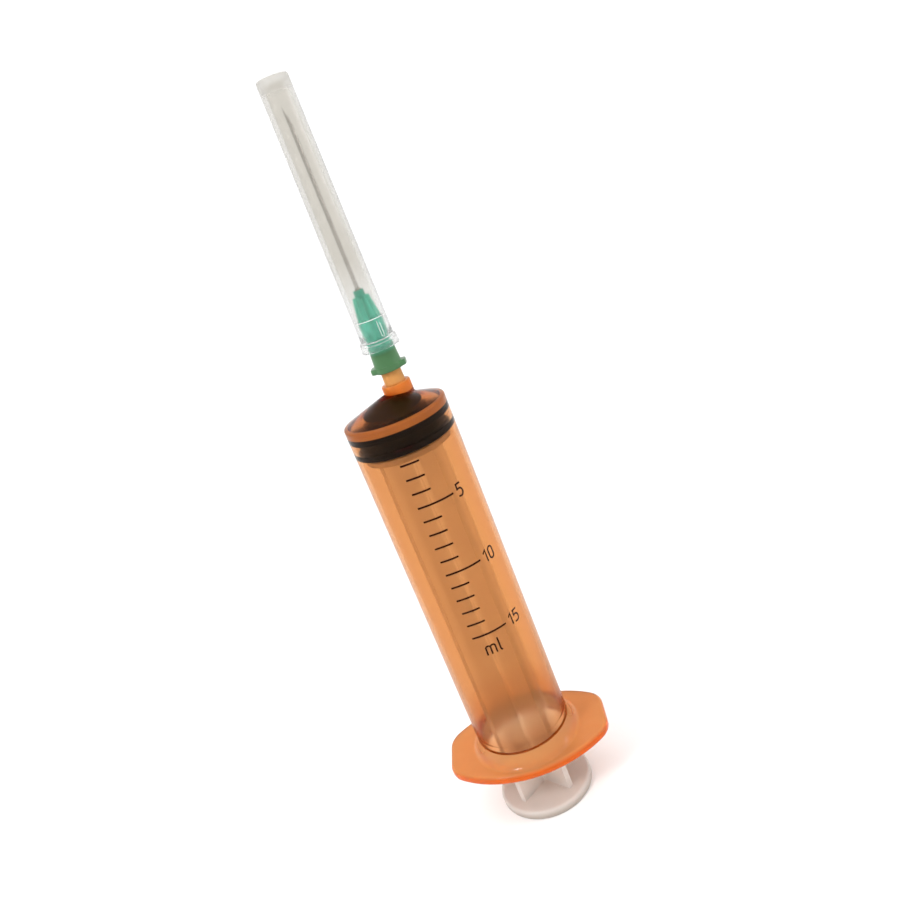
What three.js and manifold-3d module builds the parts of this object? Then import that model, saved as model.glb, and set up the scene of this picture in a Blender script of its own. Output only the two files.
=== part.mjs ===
// Luer-slip syringe of 20 ml size with a fitted, capped hypodermic needle, needle up, standing on its thumb rest.
// Frame: millimetres, +Z up along the barrel, origin at the centre of the thumb rest's flat underside,
// X along the finger flange, and -Y towards the printed side of the barrel.
import * as THREE from "three";
import { mergeVertices } from "three/addons/utils/BufferGeometryUtils.js";
import Module from "manifold-3d";

// ---- Driving dimensions (mm) ----
const BARREL_R = 11.0; // outside of the barrel tube
const BORE_R = 10.05; // inside of the barrel tube
const FLANGE_Z = 13.8; // underside of the finger flange
const FLANGE_T = 2.2; // thickness of the finger flange
const FLANGE_HALF_LENGTH = 19.0; // along X
const FLANGE_HALF_DEPTH = 13.6; // along Y, at the middle
const FLANGE_EDGE_R = 26.6; // radius of the two long, bowed edges
const FLANGE_CORNER_R = 5.7;
const FLANGE_ROUND = 0.5; // rounding of the flange's rim
const FLARE_Z = 19.5; // where the tube starts to flare out into the flange
const FLARE_RX = 2.6; // the flare is a quarter ellipse with these half-axes
const FLARE_RZ = 3.8;
const SHOULDER_Z = 100.0; // rim of the conical front wall
const SHOULDER_R = 10.64;
const CONE_SLOPE = 0.376; // rise over run of the front wall
const FRONT_WALL = 2.1; // thickness of the front wall along Z
const BEAD_Z = 19.7; // bead inside the mouth that keeps the stopper in
const BEAD_R = 9.8;

const TIP_X = 2.1; // the eccentric tip's axis
const TIP_Y = 2.9;
const COLLAR_R = 3.12;
const COLLAR_TOP_Z = 104.75;
const LUER_END_Z = 112.6;
const LUER_END_R = 1.965;
const LUER_TAPER = 0.03; // growth in radius per millimetre, the 6% luer cone
const TIP_BORE_R = 1.05;

const STOPPER_BACK_Z = 93.2;
const STOPPER_FRONT_Z = 98.2;
const STOPPER_RING_R = 9.97; // running fit in the bore
const STOPPER_GROOVE_R = 9.3;
const STOPPER_NOSE_R = 6.7;
const NOSE_GAP = 0.35; // between the stopper's nose and the front wall

const ROD_FIN_R = 8.2; // half-span of the cross-shaped rod
const ROD_FIN_T = 1.4;
const ROD_TURN_DEG = 45; // the fins stand between the flange's axes
const ROD_DISC_R = 9.3; // disc that backs the stopper
const THUMB_R = 11.1;
const THUMB_T = 2.3;

const HUB_Z = 107.6; // mouth of the needle hub
const HUB_SHOULDER_Z = 118.7;
const HUB_TOP_Z = 124.8;
const HUB_MOUTH_R = 2.2; // luer socket at its mouth
const HUB_LUG_REACH = 3.75;
const NEEDLE_R = 0.41; // 21 gauge tube
const NEEDLE_BORE_R = 0.26;
const NEEDLE_START_Z = 116.9;
const NEEDLE_TIP_Z = 160.7;
const BEVEL_DEG = 13;

const SHEATH_Z = 112.4; // mouth of the needle sheath
const SHEATH_TOP_Z = 165.9;
const SHEATH_COLLAR_R = 4.03;
const SHEATH_LOW_R = 3.49;
const SHEATH_HIGH_R = 3.13;
const SHEATH_BORE_LOW_R = 2.55;
const SHEATH_BORE_HIGH_R = 2.2;
const SHEATH_SOCKET_R = 2.79; // where the sheath grips the hub

const BARREL_SEGMENTS = 48;
const TIP_SEGMENTS = 32;
const FINE_SEGMENTS = 16; // for the needle and its adhesive

// ---- Geometry helpers ----
const wasm = await Module();
wasm.setup();

// Turns a list of [radius, z] round the Z axis. The list runs anticlockwise seen with +r right and +z up.
function lathe(profile, segments) {
  const points = profile.map(([r, z]) => new THREE.Vector2(r, z));
  return new THREE.LatheGeometry(points, segments).rotateX(Math.PI / 2);
}

// A flat outline extruded from z = low to z = high, its rim rounded by bevel where bevel is over 0.
function plate(shape, low, high, bevel = 0, curveSegments = 12) {
  const made = new THREE.ExtrudeGeometry(shape, {
    depth: high - low - 2 * bevel,
    bevelEnabled: bevel > 0,
    bevelThickness: bevel,
    bevelSize: bevel,
    bevelOffset: -bevel,
    bevelSegments: 3,
    curveSegments,
  });
  return made.translate(0, 0, low + bevel);
}

// A closed three.js geometry as a solid that can be cut and joined.
function solid(geometry) {
  const bare = new THREE.BufferGeometry().setAttribute("position", geometry.getAttribute("position"));
  if (geometry.index) bare.setIndex(geometry.index);
  const merged = mergeVertices(bare, 1e-4);
  const kept = [];
  const index = merged.index.array;
  for (let i = 0; i < index.length; i += 3) {
    const [a, b, c] = [index[i], index[i + 1], index[i + 2]];
    if (a !== b && b !== c && c !== a) kept.push(a, b, c);
  }
  return new wasm.Manifold(
    new wasm.Mesh({
      numProp: 3,
      vertProperties: merged.attributes.position.array,
      triVerts: new Uint32Array(kept),
    }),
  );
}

function geometryOf(made) {
  const mesh = made.getMesh();
  const geometry = new THREE.BufferGeometry();
  geometry.setAttribute("position", new THREE.BufferAttribute(mesh.vertProperties, 3));
  geometry.setIndex(new THREE.BufferAttribute(mesh.triVerts, 1));
  geometry.computeVertexNormals();
  return geometry;
}

const joined = (first, ...others) => others.reduce((sum, next) => sum.add(solid(next)), solid(first));
const without = (whole, ...cuts) => cuts.reduce((left, cut) => left.subtract(solid(cut)), whole);

// Points of an elliptical arc in the profile plane, from angle a0 to a1 in degrees.
function arc(r, z, rx, rz, a0, a1, steps) {
  return Array.from({ length: steps + 1 }, (_, i) => {
    const a = THREE.MathUtils.degToRad(a0 + ((a1 - a0) * i) / steps);
    return [r + rx * Math.cos(a), z + rz * Math.sin(a)];
  });
}

const coneZ = (r) => SHOULDER_Z + CONE_SLOPE * (SHOULDER_R - r); // outside of the front wall
const luerR = (z) => LUER_END_R + LUER_TAPER * (LUER_END_Z - z);

function named(name, geometry, material) {
  const mesh = new THREE.Mesh(geometry, material);
  mesh.name = name;
  return mesh;
}

// ---- Materials ----
const orangePlastic = new THREE.MeshStandardMaterial({ color: 0xdc925f, roughness: 0.3, metalness: 0 });
const blackRubber = new THREE.MeshStandardMaterial({ color: 0x1c1917, roughness: 0.6, metalness: 0 });
const whitePlastic = new THREE.MeshStandardMaterial({ color: 0xd9c8bd, roughness: 0.45, metalness: 0 });
const greenPlastic = new THREE.MeshStandardMaterial({ color: 0x2fae8c, roughness: 0.35, metalness: 0 });
const clearPlastic = new THREE.MeshStandardMaterial({ color: 0xd8d2cb, roughness: 0.3, metalness: 0 });
const needleSteel = new THREE.MeshStandardMaterial({ color: 0xaeb2b4, roughness: 0.25, metalness: 1 });
const epoxy = new THREE.MeshStandardMaterial({ color: 0xe6e0d0, roughness: 0.2, metalness: 0 });

// ---- Barrel: tube, finger flange, conical front wall and eccentric luer tip in one moulding ----

// The flange's plan: straight ends, bowed long edges and round corners.
function flangeOutline() {
  const cornerX = FLANGE_HALF_LENGTH - FLANGE_CORNER_R;
  const edgeCentreY = FLANGE_EDGE_R - FLANGE_HALF_DEPTH;
  const innerR = FLANGE_EDGE_R - FLANGE_CORNER_R;
  const cornerY = Math.sqrt(innerR ** 2 - cornerX ** 2) - edgeCentreY;
  const turn = Math.atan2(cornerY + edgeCentreY, cornerX); // where each corner meets its long edge
  return new THREE.Shape()
    .moveTo(FLANGE_HALF_LENGTH, -cornerY)
    .lineTo(FLANGE_HALF_LENGTH, cornerY)
    .absarc(cornerX, cornerY, FLANGE_CORNER_R, 0, turn, false)
    .absarc(0, -edgeCentreY, FLANGE_EDGE_R, turn, Math.PI - turn, false)
    .absarc(-cornerX, cornerY, FLANGE_CORNER_R, Math.PI - turn, Math.PI, false)
    .lineTo(-FLANGE_HALF_LENGTH, -cornerY)
    .absarc(-cornerX, -cornerY, FLANGE_CORNER_R, Math.PI, Math.PI + turn, false)
    .absarc(0, edgeCentreY, FLANGE_EDGE_R, Math.PI + turn, 2 * Math.PI - turn, false)
    .absarc(cornerX, -cornerY, FLANGE_CORNER_R, -turn, 0, false);
}

function barrel() {
  const tube = lathe(
    [
      [0, FLANGE_Z + 1.2],
      [BARREL_R + 2.1, FLANGE_Z + 1.2],
      ...arc(BARREL_R + FLARE_RX, FLARE_Z, FLARE_RX, -FLARE_RZ, 100, 180, 6),
      ...arc(SHOULDER_R, SHOULDER_Z - 0.5, BARREL_R - SHOULDER_R, 0.5, 0, 90, 3),
      [1.6, coneZ(1.6)],
      [0.8, coneZ(1.3)],
      [0, coneZ(1.2)],
    ],
    BARREL_SEGMENTS,
  );
  const tip = lathe(
    [
      [0, 101],
      [COLLAR_R, 101],
      [COLLAR_R - 0.06, COLLAR_TOP_Z - 0.35],
      [COLLAR_R - 0.3, COLLAR_TOP_Z],
      [luerR(COLLAR_TOP_Z) + 0.15, COLLAR_TOP_Z],
      [luerR(COLLAR_TOP_Z + 0.25), COLLAR_TOP_Z + 0.25],
      [LUER_END_R, LUER_END_Z - 0.15],
      [LUER_END_R - 0.15, LUER_END_Z],
      [0, LUER_END_Z],
    ],
    TIP_SEGMENTS,
  ).translate(TIP_X, TIP_Y, 0);
  const flange = plate(flangeOutline(), FLANGE_Z, FLANGE_Z + FLANGE_T, FLANGE_ROUND);

  const bore = lathe(
    [
      [0, FLANGE_Z - 2],
      [BORE_R + 0.7, FLANGE_Z - 2],
      [BORE_R + 0.7, FLANGE_Z + 0.4],
      [BORE_R, FLANGE_Z + 1.6],
      [BORE_R, BEAD_Z - 0.8],
      [BEAD_R, BEAD_Z - 0.2],
      [BEAD_R, BEAD_Z + 0.2],
      [BORE_R, BEAD_Z + 0.8],
      [BORE_R, SHOULDER_Z - 1.8],
      [BORE_R - 0.45, SHOULDER_Z - 1.3],
      [STOPPER_NOSE_R + 0.5, coneZ(STOPPER_NOSE_R + 0.5) - FRONT_WALL],
      [0, coneZ(0) - FRONT_WALL],
    ],
    BARREL_SEGMENTS,
  );
  const tipBore = lathe(
    [
      [0, SHOULDER_Z - 0.1],
      [TIP_BORE_R, SHOULDER_Z - 0.1],
      [TIP_BORE_R - 0.1, LUER_END_Z + 0.5],
      [0, LUER_END_Z + 0.5],
    ],
    TIP_SEGMENTS,
  ).translate(TIP_X, TIP_Y, 0);
  return geometryOf(without(joined(tube, flange, tip), bore, tipBore));
}

// ---- Stopper: two sealing rings, a conical nose, and a snap-in cavity for the rod's head ----
function stopper() {
  const noseZ = (r) => coneZ(r) - FRONT_WALL - NOSE_GAP;
  const [back, front] = [STOPPER_BACK_Z, STOPPER_FRONT_Z];
  return lathe(
    [
      [0, 98.6],
      [4.0, 98.2],
      [6.4, 97.0],
      [6.4, 94.8],
      [4.9, 94.55],
      [4.9, back],
      [STOPPER_GROOVE_R, back],
      [STOPPER_RING_R, back + 0.3],
      [STOPPER_RING_R, back + 1.15],
      [STOPPER_GROOVE_R, back + 1.45],
      [STOPPER_GROOVE_R, front - 1.65],
      [STOPPER_RING_R, front - 1.4],
      [STOPPER_RING_R, front - 0.3],
      [STOPPER_RING_R - 0.3, front],
      [STOPPER_NOSE_R, front],
      [STOPPER_NOSE_R, noseZ(STOPPER_NOSE_R)],
      [0.8, noseZ(0.8)],
      [0, noseZ(0.6)],
    ],
    BARREL_SEGMENTS,
  );
}

// ---- Plunger rod: cross-shaped rod, backing disc, snap head and round thumb rest ----
function crossOutline() {
  const [far, half] = [ROD_FIN_R, ROD_FIN_T / 2];
  const corners = [
    [half, -far],
    [half, -half],
    [far, -half],
    [far, half],
    [half, half],
    [half, far],
    [-half, far],
    [-half, half],
    [-far, half],
    [-far, -half],
    [-half, -half],
    [-half, -far],
  ];
  return new THREE.Shape(corners.map(([x, y]) => new THREE.Vector2(x, y)));
}

function plungerRod() {
  const thumbRest = lathe(
    [
      [0, 0],
      [THUMB_R - 0.6, 0],
      ...arc(THUMB_R - 0.6, 0.6, 0.6, 0.6, -60, 0, 2),
      ...arc(THUMB_R - 0.8, THUMB_T - 0.8, 0.8, 0.8, 0, 90, 3),
      [0, THUMB_T],
    ],
    BARREL_SEGMENTS,
  );
  const discTop = STOPPER_BACK_Z - 0.35;
  const discAndHead = lathe(
    [
      [0, discTop - 1.3],
      [ROD_DISC_R, discTop - 1.3],
      [ROD_DISC_R, discTop],
      [4.5, discTop],
      [4.5, 94.9],
      [6.1, 95.1],
      [6.1, 96.7],
      [3.8, 97.85],
      [0, 98.2],
    ],
    BARREL_SEGMENTS,
  );
  const cross = plate(crossOutline(), THUMB_T - 0.6, discTop - 0.6);
  cross.rotateZ(THREE.MathUtils.degToRad(ROD_TURN_DEG));
  return geometryOf(joined(thumbRest, cross, discAndHead));
}

// ---- Needle hub: luer socket, two lugs, and a finned nose that holds the needle ----
function lugOutline() {
  const [reach, half] = [HUB_LUG_REACH, 1.75];
  return new THREE.Shape()
    .moveTo(-reach + 0.8, -half)
    .lineTo(reach - 0.8, -half)
    .absarc(reach - 0.8, -half + 0.8, 0.8, -Math.PI / 2, 0, false)
    .lineTo(reach, half - 0.8)
    .absarc(reach - 0.8, half - 0.8, 0.8, 0, Math.PI / 2, false)
    .lineTo(-reach + 0.8, half)
    .absarc(-reach + 0.8, half - 0.8, 0.8, Math.PI / 2, Math.PI, false)
    .lineTo(-reach, -half + 0.8)
    .absarc(-reach + 0.8, -half + 0.8, 0.8, Math.PI, 1.5 * Math.PI, false);
}

// One thin rib of the nose, standing out along +X.
function noseFin() {
  const outline = new THREE.Shape()
    .moveTo(0.6, HUB_SHOULDER_Z - 0.3)
    .lineTo(2.4, HUB_SHOULDER_Z - 0.3)
    .lineTo(2.4, HUB_SHOULDER_Z + 0.3)
    .lineTo(1.3, HUB_TOP_Z - 1.4)
    .lineTo(0.6, HUB_TOP_Z - 1.2);
  const thick = 0.6;
  return new THREE.ExtrudeGeometry(outline, { depth: thick, bevelEnabled: false })
    .translate(0, 0, -thick / 2)
    .rotateX(Math.PI / 2);
}

function needleHub() {
  const body = lathe(
    [
      [0, HUB_Z],
      [2.95, HUB_Z],
      [3.05, HUB_Z + 0.3],
      [3.05, HUB_Z + 1.0],
      [2.87, HUB_Z + 1.3],
      [2.66, SHEATH_Z],
      [2.52, HUB_SHOULDER_Z],
      [1.7, HUB_SHOULDER_Z + 0.25],
      [1.05, HUB_TOP_Z - 1.4],
      [0.95, HUB_TOP_Z],
      [0, HUB_TOP_Z],
    ],
    TIP_SEGMENTS,
  );
  const lugs = plate(lugOutline(), HUB_Z + 0.15, HUB_Z + 1.25, 0, 5);
  const fins = [0, 1, 2, 3].map((k) => noseFin().rotateZ((k * Math.PI) / 2));
  const socketEnd = HUB_Z + 9;
  const socket = lathe(
    [
      [0, HUB_Z - 0.5],
      [HUB_MOUTH_R + 0.5 * LUER_TAPER, HUB_Z - 0.5],
      [HUB_MOUTH_R - 9 * LUER_TAPER, socketEnd],
      [0, socketEnd],
    ],
    TIP_SEGMENTS,
  );
  const needleHole = lathe(
    [
      [0, socketEnd - 0.5],
      [NEEDLE_R + 0.09, socketEnd - 0.5],
      [NEEDLE_R + 0.09, HUB_TOP_Z - 2],
      [0.78, HUB_TOP_Z - 1.9],
      [0.78, HUB_TOP_Z + 0.5],
      [0, HUB_TOP_Z + 0.5],
    ],
    FINE_SEGMENTS,
  );
  return geometryOf(without(joined(body, lugs, ...fins), socket, needleHole));
}

// A ring of epoxy in the nose's well, round the needle.
function adhesiveBead() {
  const [inner, outer] = [NEEDLE_R + 0.09, 0.7];
  return lathe(
    [
      [inner, HUB_TOP_Z - 1.8],
      [outer, HUB_TOP_Z - 1.8],
      [outer, HUB_TOP_Z + 0.1],
      [inner + 0.05, HUB_TOP_Z + 0.4],
      [inner, HUB_TOP_Z + 0.4],
      [inner, HUB_TOP_Z - 1.8],
    ],
    FINE_SEGMENTS,
  );
}

// Steel tube with its end ground to a slant.
function cannula() {
  const tube = lathe(
    [
      [NEEDLE_BORE_R, NEEDLE_START_Z],
      [NEEDLE_R, NEEDLE_START_Z],
      [NEEDLE_R, NEEDLE_TIP_Z],
      [NEEDLE_BORE_R, NEEDLE_TIP_Z],
      [NEEDLE_BORE_R, NEEDLE_START_Z],
    ],
    FINE_SEGMENTS,
  );
  const slant = THREE.MathUtils.degToRad(BEVEL_DEG);
  const grind = new THREE.BoxGeometry(4, 4, 20)
    .translate(2, 0, 0)
    .rotateY(-slant)
    .translate(-NEEDLE_R + 0.02, 0, NEEDLE_TIP_Z);
  return geometryOf(without(solid(tube), grind));
}

// ---- Needle sheath: closed-ended tube with a collar at its mouth ----
function needleSheath() {
  return lathe(
    [
      [0, SHEATH_TOP_Z - 1.2],
      [SHEATH_BORE_HIGH_R - 0.4, SHEATH_TOP_Z - 1.2],
      [SHEATH_BORE_HIGH_R, SHEATH_TOP_Z - 1.6],
      [SHEATH_BORE_LOW_R, HUB_SHOULDER_Z + 0.5],
      [SHEATH_SOCKET_R, HUB_SHOULDER_Z + 0.1],
      [SHEATH_SOCKET_R, SHEATH_Z + 0.3],
      [SHEATH_SOCKET_R + 0.2, SHEATH_Z],
      [SHEATH_COLLAR_R - 0.15, SHEATH_Z],
      [SHEATH_COLLAR_R, SHEATH_Z + 0.2],
      [SHEATH_COLLAR_R - 0.15, SHEATH_Z + 1.9],
      [SHEATH_COLLAR_R - 0.35, SHEATH_Z + 2.15],
      [SHEATH_LOW_R + 0.03, SHEATH_Z + 2.2],
      [SHEATH_LOW_R, SHEATH_Z + 2.8],
      [SHEATH_HIGH_R, SHEATH_TOP_Z - 0.8],
      [SHEATH_HIGH_R - 0.13, SHEATH_TOP_Z - 0.25],
      [SHEATH_HIGH_R - 0.4, SHEATH_TOP_Z],
      [0, SHEATH_TOP_Z],
    ],
    TIP_SEGMENTS,
  );
}

// ---- Assembly ----
const needle = new THREE.Group(); // the needle stands on the tip's axis
needle.position.set(TIP_X, TIP_Y, 0);
needle.add(
  named("needle_hub", needleHub(), greenPlastic),
  named("cannula", cannula(), needleSteel),
  named("adhesive_bead", adhesiveBead(), epoxy),
  named("needle_sheath", needleSheath(), clearPlastic),
);

const syringe = new THREE.Group();
syringe.add(
  named("barrel", barrel(), orangePlastic),
  named("stopper", stopper(), blackRubber),
  named("plunger_rod", plungerRod(), whitePlastic),
  needle,
);

export default syringe;
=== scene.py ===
"""A 20 ml luer-slip syringe with a capped needle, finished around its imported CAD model.

Lengths are millimetres in the shape code and metres in the scene. The barrel stands along +Z on its
thumb rest, the finger flange lies along X, and the printed scale faces -Y.
"""

import math

import bmesh
import bpy
from mathutils import Matrix, Vector


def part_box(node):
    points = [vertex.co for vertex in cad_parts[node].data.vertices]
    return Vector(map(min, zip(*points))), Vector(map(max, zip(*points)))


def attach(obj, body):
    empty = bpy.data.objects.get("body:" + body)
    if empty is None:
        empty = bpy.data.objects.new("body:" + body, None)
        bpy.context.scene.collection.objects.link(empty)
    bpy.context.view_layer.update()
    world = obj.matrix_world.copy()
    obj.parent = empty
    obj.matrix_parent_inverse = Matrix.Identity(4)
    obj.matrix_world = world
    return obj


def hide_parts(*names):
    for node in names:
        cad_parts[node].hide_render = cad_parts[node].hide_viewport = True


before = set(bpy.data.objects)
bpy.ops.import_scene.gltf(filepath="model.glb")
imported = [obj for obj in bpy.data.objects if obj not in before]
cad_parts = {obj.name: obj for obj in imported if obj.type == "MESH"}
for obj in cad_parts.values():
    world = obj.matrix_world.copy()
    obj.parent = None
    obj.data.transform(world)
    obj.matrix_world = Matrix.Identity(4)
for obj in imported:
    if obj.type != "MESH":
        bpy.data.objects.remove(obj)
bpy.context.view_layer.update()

MM = 0.001


def box_mm(node):
    """Lowest and highest corner of a CAD node, in millimetres."""
    low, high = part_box(node)
    return low / MM, high / MM


# ---- Dimensions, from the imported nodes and, inside them, as the CAD source names them (mm) ----
barrel_low, barrel_high = box_mm("barrel")
stopper_low, _ = box_mm("stopper")
_, rod_high = box_mm("plunger_rod")
hub_low, hub_high = box_mm("needle_hub")
needle_low, needle_high = box_mm("cannula")
bead_low, bead_high = box_mm("adhesive_bead")
sheath_low, sheath_high = box_mm("needle_sheath")

BARREL_R = 11.0
BORE_R = 10.05
FLANGE_Z = barrel_low.z
FLANGE_T = 2.2
FLANGE_HALF_LENGTH = barrel_high.x
FLANGE_HALF_DEPTH = barrel_high.y
FLANGE_EDGE_R = 26.6
FLANGE_CORNER_R = 5.7
FLARE_FOOT_R, FLARE_MID_R, FLARE_MID_Z, FLARE_Z = 12.95, 11.75, 16.5, 19.3
CORE_DEPTH = 0.05  # how far the milky thick places lie under the skin
SEAM_LAP = 0.03  # the tube and the flange run this far into each other
SHOULDER_Z, SHOULDER_R = 100.0, 10.64
CONE_SLOPE = 0.376
FRONT_WALL = 2.1
SHOULDER_ROUND = 0.42  # height of the rounding at the front corner
RETAINING_Z, RETAINING_R, RETAINING_HALF = 20.3, 9.95, 0.7
TIP_X = (needle_low.x + needle_high.x) / 2
TIP_Y = (needle_low.y + needle_high.y) / 2
COLLAR_R, COLLAR_TOP_Z = 3.12, 104.75
LUER_END_Z, LUER_END_R, LUER_TAPER = barrel_high.z, 1.965, 0.03
TIP_BORE_R = 1.05
THICK_AROUND = 96  # points round the tip's milky core

STOPPER_BACK_Z, STOPPER_FRONT_Z = stopper_low.z, 98.2
STOPPER_SEAL_R = BORE_R + 0.05  # the rubber is squeezed against the bore
STOPPER_GROOVE_R, STOPPER_NOSE_R, NOSE_PRESS = 9.3, 6.7, 0.03
# the cavity in the stopper's back that the rod's head snaps into, as (radius, height)
SNAP_CAVITY = [(0.02, 98.6), (2.0, 98.5), (4.0, 98.2), (6.4, 97.0), (6.4, 94.8), (6.25, 94.62), (4.9, 94.55)]

ROD_FIN_R, ROD_FIN_T, ROD_TURN = 8.2, 1.4, math.radians(45)
ROD_DISC_R, ROD_DISC_T = 9.3, 1.3
ROD_SPLIT_Z = 10.4  # the fins are milky below this height and clearer above
ROD_SPLIT_GAP = 0.08  # end faces that touch would show as a dark cross
SNAP_NECK_R = 4.7
# the neck's waist and the snap head above it, as (radius, height)
SNAP_HEAD = [(4.5, 94.7), (4.7, 94.9), (6.0, 95.1), (6.1, 95.25), (6.1, 96.5), (5.9, 96.8), (3.8, 97.85)]
SNAP_HEAD += [(1.5, 98.12), (0.3, 98.2)]
THUMB_R, THUMB_T = rod_high.x, 2.3

HUB_Z, HUB_TOP_Z, HUB_SHOULDER_Z = hub_low.z, hub_high.z, 118.7
HUB_MOUTH_R = 2.2
HUB_SOCKET_DEPTH = 9
HUB_LUG_REACH = hub_high.x - TIP_X
NEEDLE_R, NEEDLE_BORE_R, NEEDLE_AROUND = 0.41, 0.26, 32
NEEDLE_START_Z, NEEDLE_TIP_Z = needle_low.z, needle_high.z
BEVEL = math.radians(13)
GLUE_GAP = 0.09  # between the needle and the hub's nose

SHEATH_Z, SHEATH_TOP_Z = sheath_low.z, sheath_high.z
SHEATH_COLLAR_R = sheath_high.x - TIP_X
SHEATH_LOW_R, SHEATH_HIGH_R = 3.49, 3.13
SHEATH_BORE_LOW_R, SHEATH_BORE_HIGH_R, SHEATH_SOCKET_R = 2.55, 2.2, 2.79
SHEATH_COLLAR_H, SHEATH_AROUND = 2.15, 160

AROUND = 192  # points round the barrel


# ---- Mesh tools ----
def finish_mesh(name, verts, faces, body, slot, material, sharp=38.0):
    """One closed piece from points in millimetres, riding on a CAD body."""
    mesh = bpy.data.meshes.new(name)
    mesh.from_pydata([Vector(v) * MM for v in verts], [], faces)
    bm = bmesh.new()
    bm.from_mesh(mesh)
    bmesh.ops.remove_doubles(bm, verts=bm.verts, dist=1e-7)
    bmesh.ops.recalc_face_normals(bm, faces=bm.faces)
    bm.to_mesh(mesh)
    bm.free()
    mesh.shade_smooth()
    mesh.set_sharp_from_angle(angle=math.radians(sharp))
    mesh.materials.append(material)
    piece = bpy.data.objects.new(name, mesh)
    bpy.context.scene.collection.objects.link(piece)
    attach(piece, body)
    return piece


def band(a, b, count):
    """Quads between two closed rings of points, the first numbered from a and the second from b."""
    return [(a + i, a + (i + 1) % count, b + (i + 1) % count, b + i) for i in range(count)]


def fan(verts, start, count):
    """Triangles that close a ring of points, numbered from start, with a new point at its centre."""
    level, centre = verts[start : start + count], len(verts)
    verts.append(tuple(sum(p[c] for p in level) / count for c in range(3)))
    return [(start + i, start + (i + 1) % count, centre) for i in range(count)]


def loft(rings, loop=False):
    """Quads between rings of equally many points.

    loop joins the last ring to the first. Without it each end is closed by a fan.
    """
    count = len(rings[0])
    verts = [p for level in rings for p in level]
    faces = []
    for k in range(len(rings) if loop else len(rings) - 1):
        faces += band(k * count, ((k + 1) % len(rings)) * count, count)
    if not loop:
        for start in (0, (len(rings) - 1) * count):
            faces += fan(verts, start, count)
    return verts, faces


def angles(count=AROUND):
    return [2 * math.pi * i / count for i in range(count)]


def ring(r, z, x=0.0, y=0.0, count=AROUND):
    """A level circle."""
    return [(x + r * math.cos(a), y + r * math.sin(a), z) for a in angles(count)]


def shaped(radius, z, turns, x=0.0, y=0.0):
    """A level outline whose radius is a function of the angle."""
    return [(x + radius(a) * math.cos(a), y + radius(a) * math.sin(a), z) for a in turns]


def curve(r, z, rx, rz, first, last, steps):
    """Points of an elliptical arc, in the profile plane or on the barrel unrolled, angles in degrees."""
    made = []
    for i in range(steps + 1):
        a = math.radians(first + (last - first) * i / steps)
        made.append((r + rx * math.cos(a), z + rz * math.sin(a)))
    return made


def cone_z(r):
    """Outside of the barrel's front wall, its point a little blunted."""
    return SHOULDER_Z + CONE_SLOPE * (SHOULDER_R - math.hypot(r, 0.7))


def luer_r(z):
    """Outside of the luer tip."""
    return LUER_END_R + LUER_TAPER * (LUER_END_Z - z)


# ---- Barrel ----
def flange_radius(inset):
    """The flange's outline, inset, as a radius for each angle."""
    corner_x = FLANGE_HALF_LENGTH - FLANGE_CORNER_R
    edge_centre = FLANGE_EDGE_R - FLANGE_HALF_DEPTH
    corner_y = math.sqrt((FLANGE_EDGE_R - FLANGE_CORNER_R) ** 2 - corner_x**2) - edge_centre
    turn = math.atan2(corner_y + edge_centre, corner_x)
    straight_end = math.atan2(corner_y, FLANGE_HALF_LENGTH - inset)
    edge_r, corner_r = FLANGE_EDGE_R - inset, FLANGE_CORNER_R - inset
    bow_start = math.atan2(edge_r * math.sin(turn) - edge_centre, edge_r * math.cos(turn))

    def meet(a, cx, cy, r):
        along = cx * math.cos(a) + cy * math.sin(a)
        return along + math.sqrt(max(r * r - cx * cx - cy * cy + along * along, 0))

    def radius(a):
        a = math.atan2(abs(math.sin(a)), abs(math.cos(a)))
        if a < straight_end:
            return (FLANGE_HALF_LENGTH - inset) / math.cos(a)
        if a < bow_start:
            return meet(a, corner_x, corner_y, corner_r)
        return meet(a, 0, -edge_centre, edge_r)

    return radius


def make_flange(material):
    """The finger flange with the flare above it, up to the crease where the tube begins."""
    turns = angles()
    mouth_r = BORE_R + 0.7
    low, high = FLANGE_Z, FLANGE_Z + FLANGE_T

    def blend(r, z, inset, share):
        outline = flange_radius(inset)
        return shaped(lambda a: r + (outline(a) - r) * share, z, turns)

    round_r = 0.75
    rings = [ring(mouth_r + 0.12, low)]
    rings += [blend(mouth_r + 0.12, low, round_r, s) for s in (0.35, 0.7)]
    for a in range(0, 91, 15):  # underside to edge
        t = math.radians(a)
        inset = round_r * (1 - math.sin(t))
        rings.append(shaped(flange_radius(inset), low + round_r * (1 - math.cos(t)), turns))
    for a in range(0, 91, 15):  # edge to top face
        t = math.radians(a)
        inset = round_r * (1 - math.cos(t))
        rings.append(shaped(flange_radius(inset), high - round_r * (1 - math.sin(t)), turns))
    rings += [blend(FLARE_FOOT_R, high, round_r, s) for s in (0.7, 0.35, 0.08)]
    profile = []
    for k in range(13):
        t = k / 12
        r = FLARE_FOOT_R * (1 - t) ** 2 + 2 * FLARE_MID_R * t * (1 - t) + BARREL_R * t**2
        z = high * (1 - t) ** 2 + 2 * FLARE_MID_Z * t * (1 - t) + FLARE_Z * t**2
        profile.append((r, z))
    profile += [(BARREL_R - 0.06, FLARE_Z + SEAM_LAP), (BORE_R + 0.06, FLARE_Z + SEAM_LAP), (BORE_R, FLARE_Z)]
    profile += [(BORE_R, low + 1.6), (mouth_r - 0.06, low + 0.5), (mouth_r, low + 0.32), (mouth_r + 0.03, low + 0.06)]
    rings += [ring(r, z) for r, z in profile]
    return finish_mesh("barrel_flange", *loft(rings, loop=True), "barrel", "barrel_plastic", material)


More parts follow.
